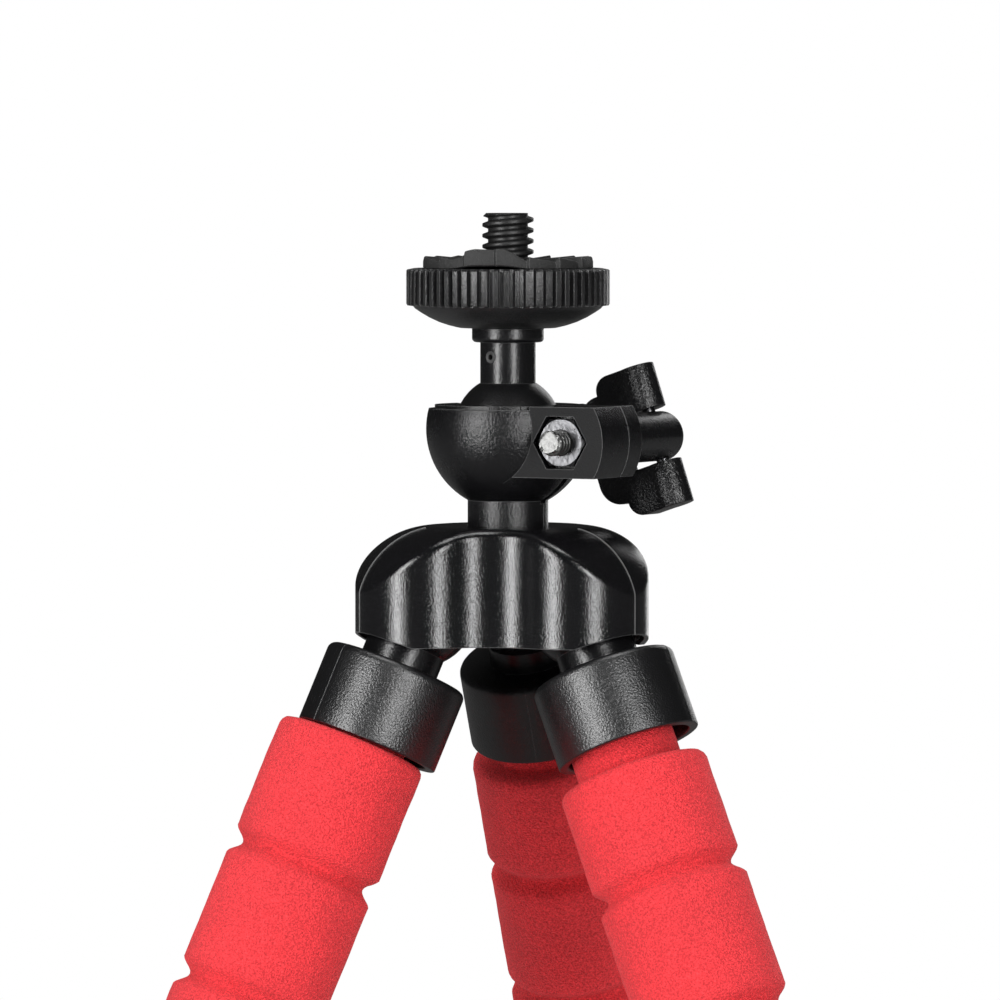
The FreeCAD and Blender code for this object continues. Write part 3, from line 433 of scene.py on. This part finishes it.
zinc = worn_metal("zinc", (0.13, 0.13, 0.135), metal=1.0, roughness=0.28, mottle=0.6, bump_strength=1.0)
pin_steel = worn_metal("pin_steel", (0.16, 0.16, 0.16), metal=0.9, roughness=0.35, mottle=0.3, bump_strength=0.3)
give(pin_steel, "stem_pin")
give(zinc, "clamp_nut", "knob_pin", "hub_screws")


# Camera screw: black oxide steel with a rolled 1/4"-20 thread, whose rounded crests run down into the pad. Its plain
# shank steps down under the wheel and is pressed into the stem, where the tubular pin holds it.

thread_steps = 64
rings_per_pitch = 16
flank_steepness = 1.9
root_width = 0.45
seat_screw = {"crest": 0.00306, "root": 0.00238, "pitch": 0.00127, "start": 0.27, "top": 0.00555, "chamfer": 0.00045}
band_radius = 0.00295
shank_radius = 0.002
wheel_level = -0.001
collar_level = -0.00815
shank_end = -0.01265


def level_ring(shape, ring, radius_of, height):
    """Extrudes a ring of edges and sets the new ring's radii and height."""
    made = bmesh.ops.extrude_edge_only(shape, edges=ring)["geom"]
    for corner in [part for part in made if isinstance(part, bmesh.types.BMVert)]:
        flat = Vector((corner.co.x, corner.co.y))
        flat = flat.normalized() * radius_of(flat)
        corner.co = Vector((flat.x, flat.y, height))
    return [part for part in made if isinstance(part, bmesh.types.BMEdge)]


def plain(radius):
    """The same radius all round a ring."""
    return lambda flat: radius


def thread_radius(screw, height, flat):
    """The radius of a rolled right hand thread, chamfered at its tip."""
    turn = math.atan2(flat.y, flat.x) / math.tau
    phase = (height / screw["pitch"] - turn + screw["start"]) % 1.0
    ramp = min(1.0, max(0.0, flank_steepness * abs(2 * phase - 1) - root_width))
    rolled = screw["root"] + (screw["crest"] - screw["root"]) * ramp * ramp * (3 - 2 * ramp)
    return min(rolled, screw["crest"] - max(0.0, height - screw["top"] + screw["chamfer"]))


def screw_shape(screw, plain_levels, thread_end):
    """A bmesh of a screw that points up: plain rings from its foot, then its thread from a height to its tip."""
    shape = bmesh.new()
    radius, height = plain_levels[0]
    bmesh.ops.create_circle(shape, cap_ends=False, segments=thread_steps, radius=radius)
    for corner in shape.verts:
        corner.co.z = height
    ring = shape.edges[:]
    for radius, height in plain_levels[1:]:
        ring = level_ring(shape, ring, plain(radius), height)
    run = screw["top"] - thread_end
    rings = round(run / screw["pitch"] * rings_per_pitch)
    for step in range(rings + 1):
        height = thread_end + run * step / rings
        ring = level_ring(shape, ring, lambda flat: thread_radius(screw, height, flat), height)
    bmesh.ops.holes_fill(shape, edges=[edge for edge in shape.edges if edge.is_boundary])
    return shape


black_oxide = worn_metal(
    "black_oxide", (0.05, 0.05, 0.05), metal=0.8, roughness=0.42, mottle=0.5, bump_strength=0.5
)
shank = [(shank_radius, shank_end), (shank_radius, collar_level)]
shank += [(band_radius, collar_level), (band_radius, wheel_level)]
screw = piece_from(screw_shape(seat_screw, shank, wheel_level), "camera_screw_thread", black_oxide, sharp=50)
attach(screw, "head")
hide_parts("camera_screw")


# Clamp screw: a zinc plated M3 screw that draws the two ears together. Its cut off tip, a little crushed, stands out
# of the nut, and its plain end is moulded into the knob's barrel.

bright_zinc = worn_metal("bright_zinc", (0.2, 0.2, 0.197), metal=1.0, roughness=0.36, mottle=0.8, bump_strength=1.0)
clamp_direction = Vector(joints["clamp_turn"]["axis"])
clamp_middle = Vector(joints["clamp_turn"]["pos_m"])
if clamp_direction.y > 0:
    clamp_direction = -clamp_direction
clamp_screw = {"crest": 0.0015, "root": 0.00106, "pitch": 0.0007, "start": 0.0, "top": 0.0094, "chamfer": 0.0001}
thread_foot = 0.0038
knob_end = -0.01235
crushed_length = 0.0002
crush_height = 0.00045
crush_grain = 1500
plain_end = [(clamp_screw["crest"], knob_end), (clamp_screw["crest"], thread_foot)]
shape = screw_shape(clamp_screw, plain_end, thread_foot)
for corner in shape.verts:
    if corner.co.z > clamp_screw["top"] - crushed_length:
        corner.co.z += crush_height * noise.noise(corner.co * crush_grain)
place = Matrix.Translation(clamp_middle) @ clamp_direction.to_track_quat("Z", "Y").to_matrix().to_4x4()
bmesh.ops.transform(shape, matrix=place, verts=shape.verts)
screw = piece_from(shape, "clamp_screw_thread", bright_zinc, sharp=50)
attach(screw, "clamp_knob")
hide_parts("clamp_screw")


# Lock wheel: a glossy black moulding with sixty square teeth round its rim, over a shallow convex bowl. It turns on
# the camera screw and is run up against the camera to lock it.

wheel_radius = 0.0121
tooth_round = 0.00012
root_inset = 0.0001
rim_inset = 0.0002
wheel_bore = 0.0033
tooth_depth = 0.0007
teeth = 60
points_per_tooth = 8
land_points = 4


def toothed(radius):
    """The radius of the toothed rim at a point: its land, or its groove."""

    def radius_of(flat):
        step = round(math.atan2(flat.y, flat.x) / math.tau * teeth * points_per_tooth)
        return radius if step % points_per_tooth < land_points else radius - tooth_depth

    return radius_of


rim_top = -0.001
bowl_bottom = -0.0081
bowl = [(0.01105, -0.0058), (0.0104, -0.00624), (0.0094, -0.00684), (0.0082, -0.0074), (0.007, -0.0078)]
bowl += [(0.0061, -0.00802), (0.0057, bowl_bottom), (wheel_bore, bowl_bottom), (wheel_bore, rim_top)]
wheel_levels = [
    (toothed(wheel_radius - tooth_round), -0.00115),
    (toothed(wheel_radius), -0.00128),
    (toothed(wheel_radius), -0.0052),
    (toothed(wheel_radius - tooth_round), -0.00542),
    (plain(wheel_radius - tooth_depth - root_inset), -0.0055),
]
wheel_levels += [(plain(radius), height) for radius, height in bowl]
rim_nylon = moulded_plastic(
    "rim_nylon", (0.008, 0.008, 0.0085), roughness=0.3, grain_size=0.00022, grain=0.3, edge=0.00006, gloss=0.95
)
shape = bmesh.new()
bmesh.ops.create_circle(shape, cap_ends=False, segments=teeth * points_per_tooth, radius=wheel_radius)
first_ring = shape.edges[:]
for corner in shape.verts:
    flat = Vector((corner.co.x, corner.co.y)).normalized() * (wheel_radius - tooth_depth - rim_inset)
    corner.co = Vector((flat.x, flat.y, rim_top))
ring = first_ring
for radius_of, height in wheel_levels:
    ring = level_ring(shape, ring, radius_of, height)
bmesh.ops.bridge_loops(shape, edges=first_ring + ring)
wheel = piece_from(shape, "lock_wheel_moulding", rim_nylon)
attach(wheel, "wheel")
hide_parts("lock_wheel")


# Rubber pad: a matt black ring of sixteen sloping facets, glued on the wheel. It has come up a little at the
# front, where it arches off the rim.

black_rubber = moulded_plastic(
    "black_rubber", (0.02, 0.02, 0.02), roughness=0.6, grain_size=0.0003, grain=0.3, edge=0.00012, gloss=0.4
)
facets = 16
facet_points = 12
pad_bore = 0.0039
pad_radius = 0.0102
lift_azimuth = math.degrees(math.atan2(to_camera.y, to_camera.x)) - 14
lift_half_width = 31.0
lift_height = 0.001
lift_flat_top = 1.35
lift_grows_over = 0.004
lift_below = 0.35
lift_full_above = 0.0009
facet_drop = 0.0006
facet_drop_lifted = 0.45
facet_base = 0.0008
drop_full_above = 0.0013
facet_edge = 0.0096
facet_inset = 0.035


def lift(flat):
    """How far the pad stands off the wheel at a point."""
    away = (math.degrees(math.atan2(flat.y, flat.x)) - lift_azimuth + 180) % 360 - 180
    if abs(away) > lift_half_width:
        return 0.0
    rise = min(1.0, lift_flat_top * (1 - abs(away) / lift_half_width))
    arch = rise * rise * (3 - 2 * rise)
    return lift_height * arch * min(1.0, max(0.0, (flat.length - pad_bore) / lift_grows_over))


def facet_slope(flat):
    """0 to 1 across each facet, so that the pad's top is a ring of saw teeth."""
    turn = math.atan2(flat.y, flat.x) / math.tau * facets
    return turn - math.floor(turn + 1e-6)


shape = bmesh.new()
bmesh.ops.create_circle(shape, cap_ends=False, segments=facets * facet_points, radius=pad_bore)
for corner in shape.verts:
    corner.co.z = rim_top
first_ring = shape.edges[:]
pad_levels = [(0.0055, 0.0), (0.0075, 0.0), (0.0093, 0.0), (pad_radius - 0.00015, 0.0), (pad_radius, 0.0001)]
pad_levels += [(pad_radius, 0.00085), (pad_radius - 0.00012, 0.00132), (pad_radius - 0.0003, 0.00142)]
pad_levels += [(0.0093, 0.00138), (0.0075, 0.00125), (0.0055, 0.0011), (pad_bore + 0.0001, 0.001), (pad_bore, 0.0009)]
ring = first_ring
for radius, height in pad_levels:
    ring = level_ring(shape, ring, plain(radius), rim_top + height)
bmesh.ops.bridge_loops(shape, edges=first_ring + ring)
for corner in shape.verts:
    flat = Vector((corner.co.x, corner.co.y))
    above = corner.co.z - rim_top
    arch = lift(flat)
    corner.co.z += arch * (lift_below + (1 - lift_below) * min(1.0, above / lift_full_above))
    if above > facet_base:
        drop = facet_drop - facet_drop_lifted * arch
        corner.co.z -= drop * facet_slope(flat) * min(1.0, above / drop_full_above)
    if flat.length > facet_edge:
        corner.co.xy = flat * (1 - facet_inset * facet_slope(flat))
pad = piece_from(shape, "rubber_pad", black_rubber, sharp=25)
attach(pad, "wheel")
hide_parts("wheel_pad")


# Hub and leg balls: a three lobed shell in the same black nylon, more polished. The base plate that is screwed under
# it holds the legs' ball studs. Down the middle of each lobe runs a fine rib that the mould left; its grey is a
# painted highlight.

polished_nylon = moulded_plastic(
    "polished_nylon", nylon_black, roughness=0.13, grain_size=0.00022, grain=0.17, edge=0.0002
)
# The rib's light grey is a painted highlight, standing in for the thin line of light that the rib catches.
highlight_grey_nylon = moulded_plastic(
    "highlight_grey_nylon", (0.11, 0.11, 0.11), roughness=0.4, grain_size=0.00024, grain=0.2, edge=0.00002
)
legs = ("back", "left", "right")
give(polished_nylon, "hub_shell", "hub_base")
for leg in legs:
    give(smooth_nylon, leg + "_leg_stud")

lobe_azimuth = {"back": 90, "left": 210, "right": 330}
rib_half_width = 0.00004
rib_height = 0.0001
rib_start = 0.0105
rib_lean = 0.6
rib_facing = 0.25
for leg in legs:
    azimuth = lobe_azimuth[leg]
    out = Vector((math.cos(math.radians(azimuth)), math.sin(math.radians(azimuth)), 0))
    side = Vector((-out.y, out.x, 0))
    shape = bmesh.new()
    shape.from_mesh(nodes["hub_shell"].data)
    bmesh.ops.remove_doubles(shape, verts=shape.verts, dist=merge_distance)
    for point, away in ((side * rib_half_width, side), (-side * rib_half_width, -side), (out * rib_start, -out)):
        bmesh.ops.bisect_plane(
            shape,
            geom=shape.verts[:] + shape.edges[:] + shape.faces[:],
            plane_co=point,
            plane_no=away,
            clear_outer=True,
        )
    shape.normal_update()
    outward = (out + Vector((0, 0, rib_lean))).normalized()
    hidden = [face for face in shape.faces if face.normal.dot(outward) < rib_facing]
    bmesh.ops.delete(shape, geom=hidden, context="FACES")
    for corner in shape.verts:
        corner.co += corner.normal * rib_height
    bmesh.ops.solidify(shape, geom=shape.faces[:], thickness=2 * rib_height)
    rib = piece_from(shape, "hub_rib_" + leg, highlight_grey_nylon, sharp=60)
    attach(rib, "hub")


# Caps: black nylon cups over the tops of the legs, pressed on the spigots of the ball studs, with a softly rounded
# top and a thin edge at the mouth. A fine witness line runs down two sides, where the halves of the mould met.

cap_outside = 0.00865
cap_inside = 0.00745
cap_top = 0.0071
cap_mouth = 0.0171
cap_ceiling = 0.0099
cap_bore = 0.00306
cap_steps = 160
corner_round = 0.0009
corner_points = 5
wall_start = cap_top + 0.3 * (cap_mouth - cap_top)
wall_end = cap_mouth - 0.002
lip_round = 0.00022
ceiling_round = 0.0002
closing_distance = 1e-7
seam_turn = 16.0
seam_width = 0.00011
seam_height = 0.00005


def turned(profile, steps):
    """A bmesh turned about Z from a profile of (radius, depth) pairs."""
    shape = bmesh.new()
    corners = [shape.verts.new((radius, 0, -depth)) for radius, depth in profile]
    edges = [shape.edges.new(pair) for pair in zip(corners, corners[1:])]
    bmesh.ops.spin(
        shape,
        geom=corners + edges,
        cent=(0, 0, 0),
        axis=(0, 0, 1),
        angle=math.tau,
        steps=steps,
        use_merge=True,
    )
    bmesh.ops.remove_doubles(shape, verts=shape.verts, dist=closing_distance)
    return shape


def place_on(origin, up, side):
    """A leg's frame at a point: -Z down the leg, and +X outward, square to the axis that it swings about."""
    out = side.cross(up).normalized()
    return Matrix.Translation(origin) @ Matrix((out, up.cross(out), up)).transposed().to_4x4()


def rounded_corner(radius, depth, start, end, size):
    """Points of a quarter round about a centre, between two directions in degrees."""
    turns = [math.radians(start + (end - start) * k / corner_points) for k in range(corner_points + 1)]
    return [(radius + size * math.cos(a), depth - size * math.sin(a)) for a in turns]


cap_profile = [(cap_bore, cap_ceiling), (cap_bore, cap_top)]
cap_profile += rounded_corner(cap_outside - corner_round, cap_top + corner_round, start=90, end=0, size=corner_round)
cap_profile += [(cap_outside, wall_start), (cap_outside, wall_end)]
cap_profile += rounded_corner(cap_outside - lip_round, cap_mouth - lip_round, start=0, end=-90, size=lip_round)
cap_profile += rounded_corner(cap_inside + lip_round, cap_mouth - lip_round, start=-90, end=-180, size=lip_round)
cap_profile += [(cap_inside, cap_ceiling + ceiling_round), (cap_inside - ceiling_round, cap_ceiling)]
cap_profile.append(cap_profile[0])
for leg in legs:
    swing = joints[leg + "_leg_swing"]
    up = -Vector(joints[leg + "_leg_twist"]["axis"])
    place = place_on(Vector(swing["pos_m"]), up, Vector(swing["axis"]))
    shape = turned(cap_profile, cap_steps)
    bmesh.ops.transform(shape, matrix=place, verts=shape.verts)
    cap = piece_from(shape, leg + "_cap_moulding", grained_nylon, sharp=50)
    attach(cap, leg + "_leg_root")
    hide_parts(leg + "_leg_cap")
    shape = bmesh.new()
    path = rounded_corner(cap_outside - corner_round, cap_top + corner_round, start=88, end=0, size=corner_round)
    path += rounded_corner(cap_outside - lip_round, cap_mouth - lip_round, start=0, end=-60, size=lip_round)
    for turn in (seam_turn, seam_turn + 180):
        spoke = Matrix.Rotation(math.radians(turn), 4, "Z")
        rows = []
        for side, proud in ((-0.5, -seam_height), (0, seam_height), (0.5, -seam_height)):
            line = [Vector((radius + proud, side * seam_width, -depth)) for radius, depth in path]
            corners = [shape.verts.new(spoke @ point) for point in line]
            rows.append([shape.edges.new(pair) for pair in zip(corners, corners[1:])])
        bmesh.ops.bridge_loops(shape, edges=rows[0] + rows[1])
        bmesh.ops.bridge_loops(shape, edges=rows[1] + rows[2])
        bmesh.ops.bridge_loops(shape, edges=rows[2] + rows[0])
    bmesh.ops.holes_fill(shape, edges=[edge for edge in shape.edges if edge.is_boundary])
    bmesh.ops.transform(shape, matrix=place, verts=shape.verts)
    seam = piece_from(shape, leg + "_cap_seam", smooth_nylon, sharp=80)
    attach(seam, leg + "_leg_root")


# Core wires: bare aluminium, with a head that is swaged on and pressed into the cap. Only a glimpse of them shows
# where a leg is bent away from its cap.

core_alloy = worn_metal("core_alloy", (0.6, 0.6, 0.62), metal=1.0, roughness=0.35, mottle=0.15, bump_strength=0.1)
for leg in legs:
    give(core_alloy, leg + "_leg_wire_root")
    for number in range(1, 6):
        give(core_alloy, f"{leg}_leg_wire_{number}")


# Foam sleeves: bright red closed cell foam, ground to size, pushed over the wire, with a ring groove every 16.5 mm.
# One sleeve covers a whole leg. Here it is cut at every other groove, so that a whole groove lies between each pair
# of cuts.

foam_radius = 0.009
foam_neck_radius = 0.0063
groove_depth = 0.0014
groove_half_width = 0.0017
groove_rings = 5
groove_fullness = 0.8
foam_steps = 144
foam_ring_spacing = 0.0011
pore_height = 0.00006
pore_grain = 1500
wave_height = 0.00007
wave_grain = 260
rim_below_groove = 0.00818
foot_mouth_radius = 0.0079
foot_mouth_depth = 0.002


def foam_finish():
    """Fine red foam: a random speckle that dents it and is darker in its dents, painted shade in the pores, in broad,
    faint clouds of shade.
    """
    material, parts, links = shader_tree("red_foam")
    place = parts.new("ShaderNodeTexCoord")
    cells = parts.new("ShaderNodeTexVoronoi")
    cells.inputs["Scale"].default_value = 4200
    links.new(place.outputs["Object"], cells.inputs["Vector"])
    grit = parts.new("ShaderNodeTexNoise")
    grit.inputs["Scale"].default_value = 4600
    grit.inputs["Detail"].default_value = 2.0
    links.new(place.outputs["Object"], grit.inputs["Vector"])
    broad = parts.new("ShaderNodeTexNoise")
    broad.inputs["Scale"].default_value = 150
    broad.inputs["Detail"].default_value = 2.0
    links.new(place.outputs["Object"], broad.inputs["Vector"])
    # The speckle's colour follows the same noise as the dents and is darker where they are deeper: partly random
    # speckle, partly painted shade in the pores.
    ramp = parts.new("ShaderNodeValToRGB")
    ramp.color_ramp.elements[0].position = 0.36
    ramp.color_ramp.elements[0].color = (0.55, 0.001, 0.008, 1)
    ramp.color_ramp.elements[1].position = 0.64
    ramp.color_ramp.elements[1].color = (0.9, 0.024, 0.034, 1)
    links.new(grit.outputs["Fac"], ramp.inputs["Fac"])
    shade = parts.new("ShaderNodeMix")
    shade.data_type = "RGBA"
    shade.blend_type = "MULTIPLY"
    shade.inputs["Factor"].default_value = 0.25
    links.new(ramp.outputs["Color"], shade.inputs["A"])
    links.new(broad.outputs["Fac"], shade.inputs["B"])
    pores = parts.new("ShaderNodeMath")
    pores.operation = "ADD"
    links.new(cells.outputs["Distance"], pores.inputs[0])
    links.new(grit.outputs["Fac"], pores.inputs[1])
    bump = parts.new("ShaderNodeBump")
    bump.inputs["Strength"].default_value = 1.0
    bump.inputs["Distance"].default_value = 0.00017
    links.new(pores.outputs[0], bump.inputs["Height"])
    body = parts.new("ShaderNodeBsdfPrincipled")
    body.inputs["Roughness"].default_value = 0.85
    body.inputs["Specular IOR Level"].default_value = 0.75
    body.inputs["Sheen Weight"].default_value = 0.05
    body.inputs["Sheen Roughness"].default_value = 0.5
    body.inputs["Sheen Tint"].default_value = (1, 0.3, 0.3, 1)
    links.new(shade.outputs["Result"], body.inputs["Base Color"])
    links.new(bump.outputs[0], body.inputs["Normal"])
    output = parts.new("ShaderNodeOutputMaterial")
    links.new(body.outputs[0], output.inputs["Surface"])
    return material


red_foam = foam_finish()


def groove_profile(middle):
    """Half of a rounded groove, from the full radius down to the floor at its middle."""
    rings = []
    for k in range(groove_rings + 1):
        across = 1 - k / groove_rings
        depth = groove_depth * (0.5 + 0.5 * math.cos(math.pi * across)) ** groove_fullness
        rings.append((foam_radius - depth, middle - groove_half_width * across))
    return rings


def both_sides(middle):
    """A whole groove, down to its floor and up again."""
    above = groove_profile(middle)
    return above + [(radius, 2 * middle - depth) for radius, depth in reversed(above[:-1])]


def between(start, end):
    """Rings down a plain stretch, close enough to bend and to roughen."""
    count = max(1, round((end - start) / foam_ring_spacing))
    return [(foam_radius, start + (end - start) * k / count) for k in range(1, count)]


def foam_piece(name, profile, place, seed):
    """A length of foam, turned from its profile and roughened, in its place on the leg."""
    shape = turned(profile, foam_steps)
    bmesh.ops.holes_fill(shape, edges=[edge for edge in shape.edges if edge.is_boundary])
    shift = Vector((seed * 3.1, seed * 1.7, 0))
    for corner in shape.verts:
        flat = Vector((corner.co.x, corner.co.y, 0))
        if flat.length < 0.9 * foam_neck_radius:
            continue
        rough = noise.noise(corner.co * pore_grain + shift) * pore_height
        rough += noise.noise(corner.co * wave_grain + shift) * wave_height
        corner.co += flat.normalized() * rough
    bmesh.ops.transform(shape, matrix=place, verts=shape.verts)
    return piece_from(shape, name, red_foam, sharp=60)


neck_start = -0.0026
shoulder_rise = 0.0011
end_round = 0.0003
end_inset = 0.0002
shoulder_depth = {"back": 0.0024, "left": 0.0002, "right": 0.0028}
first_groove_early = {"back": 0.0, "left": 0.0, "right": 0.0009}
for number, leg in enumerate(legs):
    bends = [Vector(joints[f"{leg}_leg_bend_{k}"]["pos_m"]) for k in range(1, 6)]
    place = place_on(bends[0], (bends[0] - bends[1]).normalized(), Vector(joints[leg + "_leg_bend_1"]["axis"]))
    depths = [(bend - bends[0]).length for bend in bends]
    groove_pitch = 0.5 * (depths[2] - depths[1])
    first_groove = depths[1] - groove_pitch
    grooves = [first_groove - first_groove_early[leg]]
    grooves += [first_groove + groove_pitch * k for k in range(1, 10)]
    shoulder = shoulder_depth[leg]
    profile = [
        (foam_neck_radius, neck_start),
        (foam_neck_radius, 0.0),
        (foam_neck_radius, max(0.0, shoulder - 0.0002)),
        (foam_neck_radius + 0.0004, shoulder),
        (foam_radius - 0.0011, shoulder + 0.00005),
        (foam_radius - 0.0005, shoulder + 0.00022),
        (foam_radius - 0.00015, shoulder + 0.0006),
        (foam_radius, shoulder + shoulder_rise),
    ]
    profile += between(shoulder + shoulder_rise, grooves[0] - groove_half_width)
    profile += groove_profile(grooves[0])
    piece = foam_piece(f"{leg}_foam_top", profile, place, 10 * number)
    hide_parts(f"{leg}_leg_foam_1")
    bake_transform(piece)
    for k in range(2, 6):
        top, middle, end = grooves[2 * k - 4 : 2 * k - 1]
        profile = both_sides(top)[groove_rings:]
        profile += between(top + groove_half_width, middle - groove_half_width)
        profile += both_sides(middle)
        profile += between(middle + groove_half_width, end - groove_half_width)
        profile += groove_profile(end)
        piece = foam_piece(f"{leg}_foam_{k}", profile, place, 10 * number + k)
        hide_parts(f"{leg}_leg_foam_{k}")
        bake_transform(piece)
    top, last_groove = grooves[8:]
    foot_rim = last_groove + rim_below_groove
    profile = both_sides(top)[groove_rings:]
    profile += between(top + groove_half_width, last_groove - groove_half_width)
    profile += both_sides(last_groove)
    profile += between(last_groove + groove_half_width, foot_rim - end_round)
    profile += [(foam_radius, foot_rim - end_round), (foam_radius - end_inset, foot_rim)]
    profile += [(foot_mouth_radius, foot_rim), (foot_mouth_radius, foot_rim + foot_mouth_depth)]
    piece = foam_piece(f"{leg}_foam_end", profile, place, 10 * number + 6)
    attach(piece, f"{leg}_leg_5")


# Feet: soft black rubber cups, moulded in one piece and pushed over the ends of the legs. They keep their solids and
# have the pad's rubber.

for leg in legs:
    give(black_rubber, leg + "_leg_foot")
